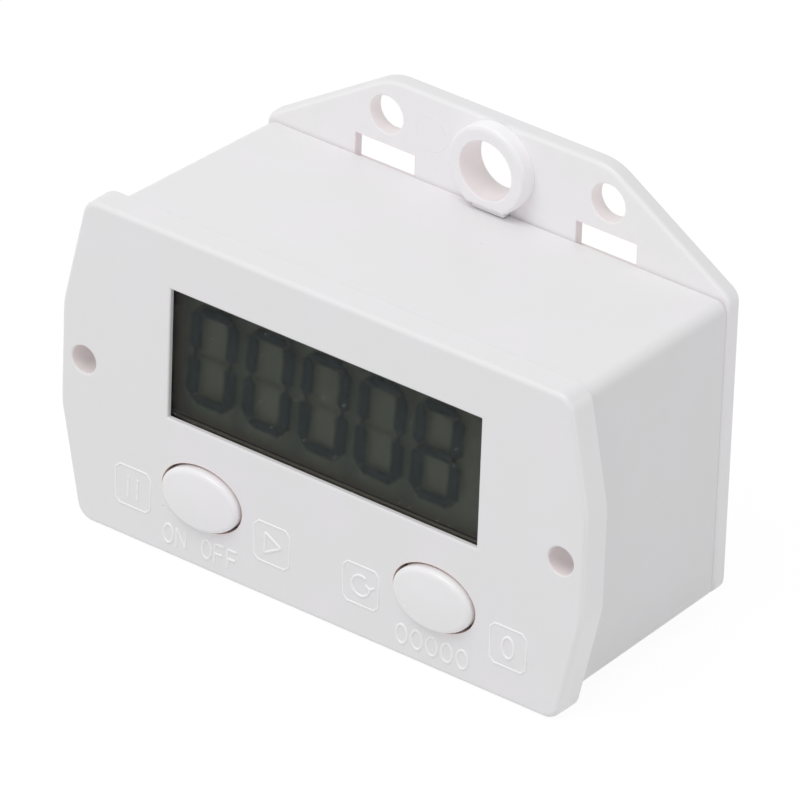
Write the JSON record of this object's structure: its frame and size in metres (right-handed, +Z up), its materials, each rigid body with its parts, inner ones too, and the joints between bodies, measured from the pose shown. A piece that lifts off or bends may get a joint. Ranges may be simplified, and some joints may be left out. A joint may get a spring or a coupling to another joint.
{
  "type": "magnetic induction counter",
  "caption": "White eared box counter with a sunk digit display, oval keys, a battery bay behind and a rear bracket with a central boss.",
  "frame": {"origin": "centre of the bounding box's bottom face, level with the flange's bottom edge", "axes": "+X to the right as the display is read, +Y from the face to the back, +Z up"},
  "size_m": [0.0718, 0.0332, 0.049],
  "materials": {
    "case_plastic": "satin white moulded plastic",
    "key_plastic": "satin white moulded plastic",
    "lens": "clear window sheet",
    "polariser": "dark olive film",
    "display_glass": "clear glass",
    "display_ink": "dark liquid crystal",
    "reflector": "grey olive reflecting film",
    "frame_plastic": "black moulded plastic",
    "contact_rubber": "pink striped rubber",
    "board": "green solder mask",
    "resin": "black resin drop",
    "bare_metal": "bright plated metal",
    "sleeve": "dark shrink sleeve",
    "ceramic": "tan ceramic",
    "chip_body": "black chip body",
    "switch_plastic": "black moulded plastic",
    "screw_steel": "zinc plated steel",
    "spring_metal": "gilt spring metal",
    "cell_jacket": "printed jacket, plain",
    "red_lead": "red insulation",
    "black_lead": "black insulation"
  },
  "bodies": {
    "case": {"front_housing": "case_plastic", "rear_cover": "case_plastic", "window_lens": "lens", "display_polariser": "polariser", "display_front_glass": "display_glass", "display_segments": "display_ink", "display_rear_glass": "display_glass", "display_reflector": "reflector", "display_frame": "frame_plastic", "upper_contact_strip": "contact_rubber", "lower_contact_strip": "contact_rubber", "main_board": "board", "counter_chip": "resin", "timing_crystal": "bare_metal", "smoothing_capacitor": "sleeve", "ceramic_capacitors": "ceramic", "chip_resistors": "chip_body", "pause_switch_base": "switch_plastic", "pause_switch_cover": "bare_metal", "reset_switch_base": "switch_plastic", "reset_switch_cover": "bare_metal", "switch_terminals": "bare_metal", "board_screws": "screw_steel", "socket_body": "switch_plastic", "socket_collar": "bare_metal", "socket_springs": "spring_metal", "battery_cell": "cell_jacket", "battery_positive_cap": "bare_metal", "positive_contact": "bare_metal", "negative_contact": "bare_metal", "positive_lead": "red_lead", "negative_lead": "black_lead", "cover_screws": "screw_steel"},
    "pause_key": {"pause_key_cap": "key_plastic", "pause_switch_plunger": "switch_plastic"},
    "reset_key": {"reset_key_cap": "key_plastic", "reset_switch_plunger": "switch_plastic"},
    "battery_door": {"battery_door": "case_plastic"}
  },
  "joints": [
    {"name": "pause_key_press", "type": "slide", "parent": "case", "child": "pause_key", "axis": [0, 1, 0], "range_m": [0, 0.0005], "stiffness_N_per_m": 300},
    {"name": "reset_key_press", "type": "slide", "parent": "case", "child": "reset_key", "axis": [0, 1, 0], "range_m": [0, 0.0005], "stiffness_N_per_m": 300},
    {"name": "battery_door_hinge", "type": "hinge", "parent": "case", "child": "battery_door", "pos_m": [0, 0.0158, 0.0124], "axis": [-1, 0, 0], "range_deg": [0, 90]}
  ]
}
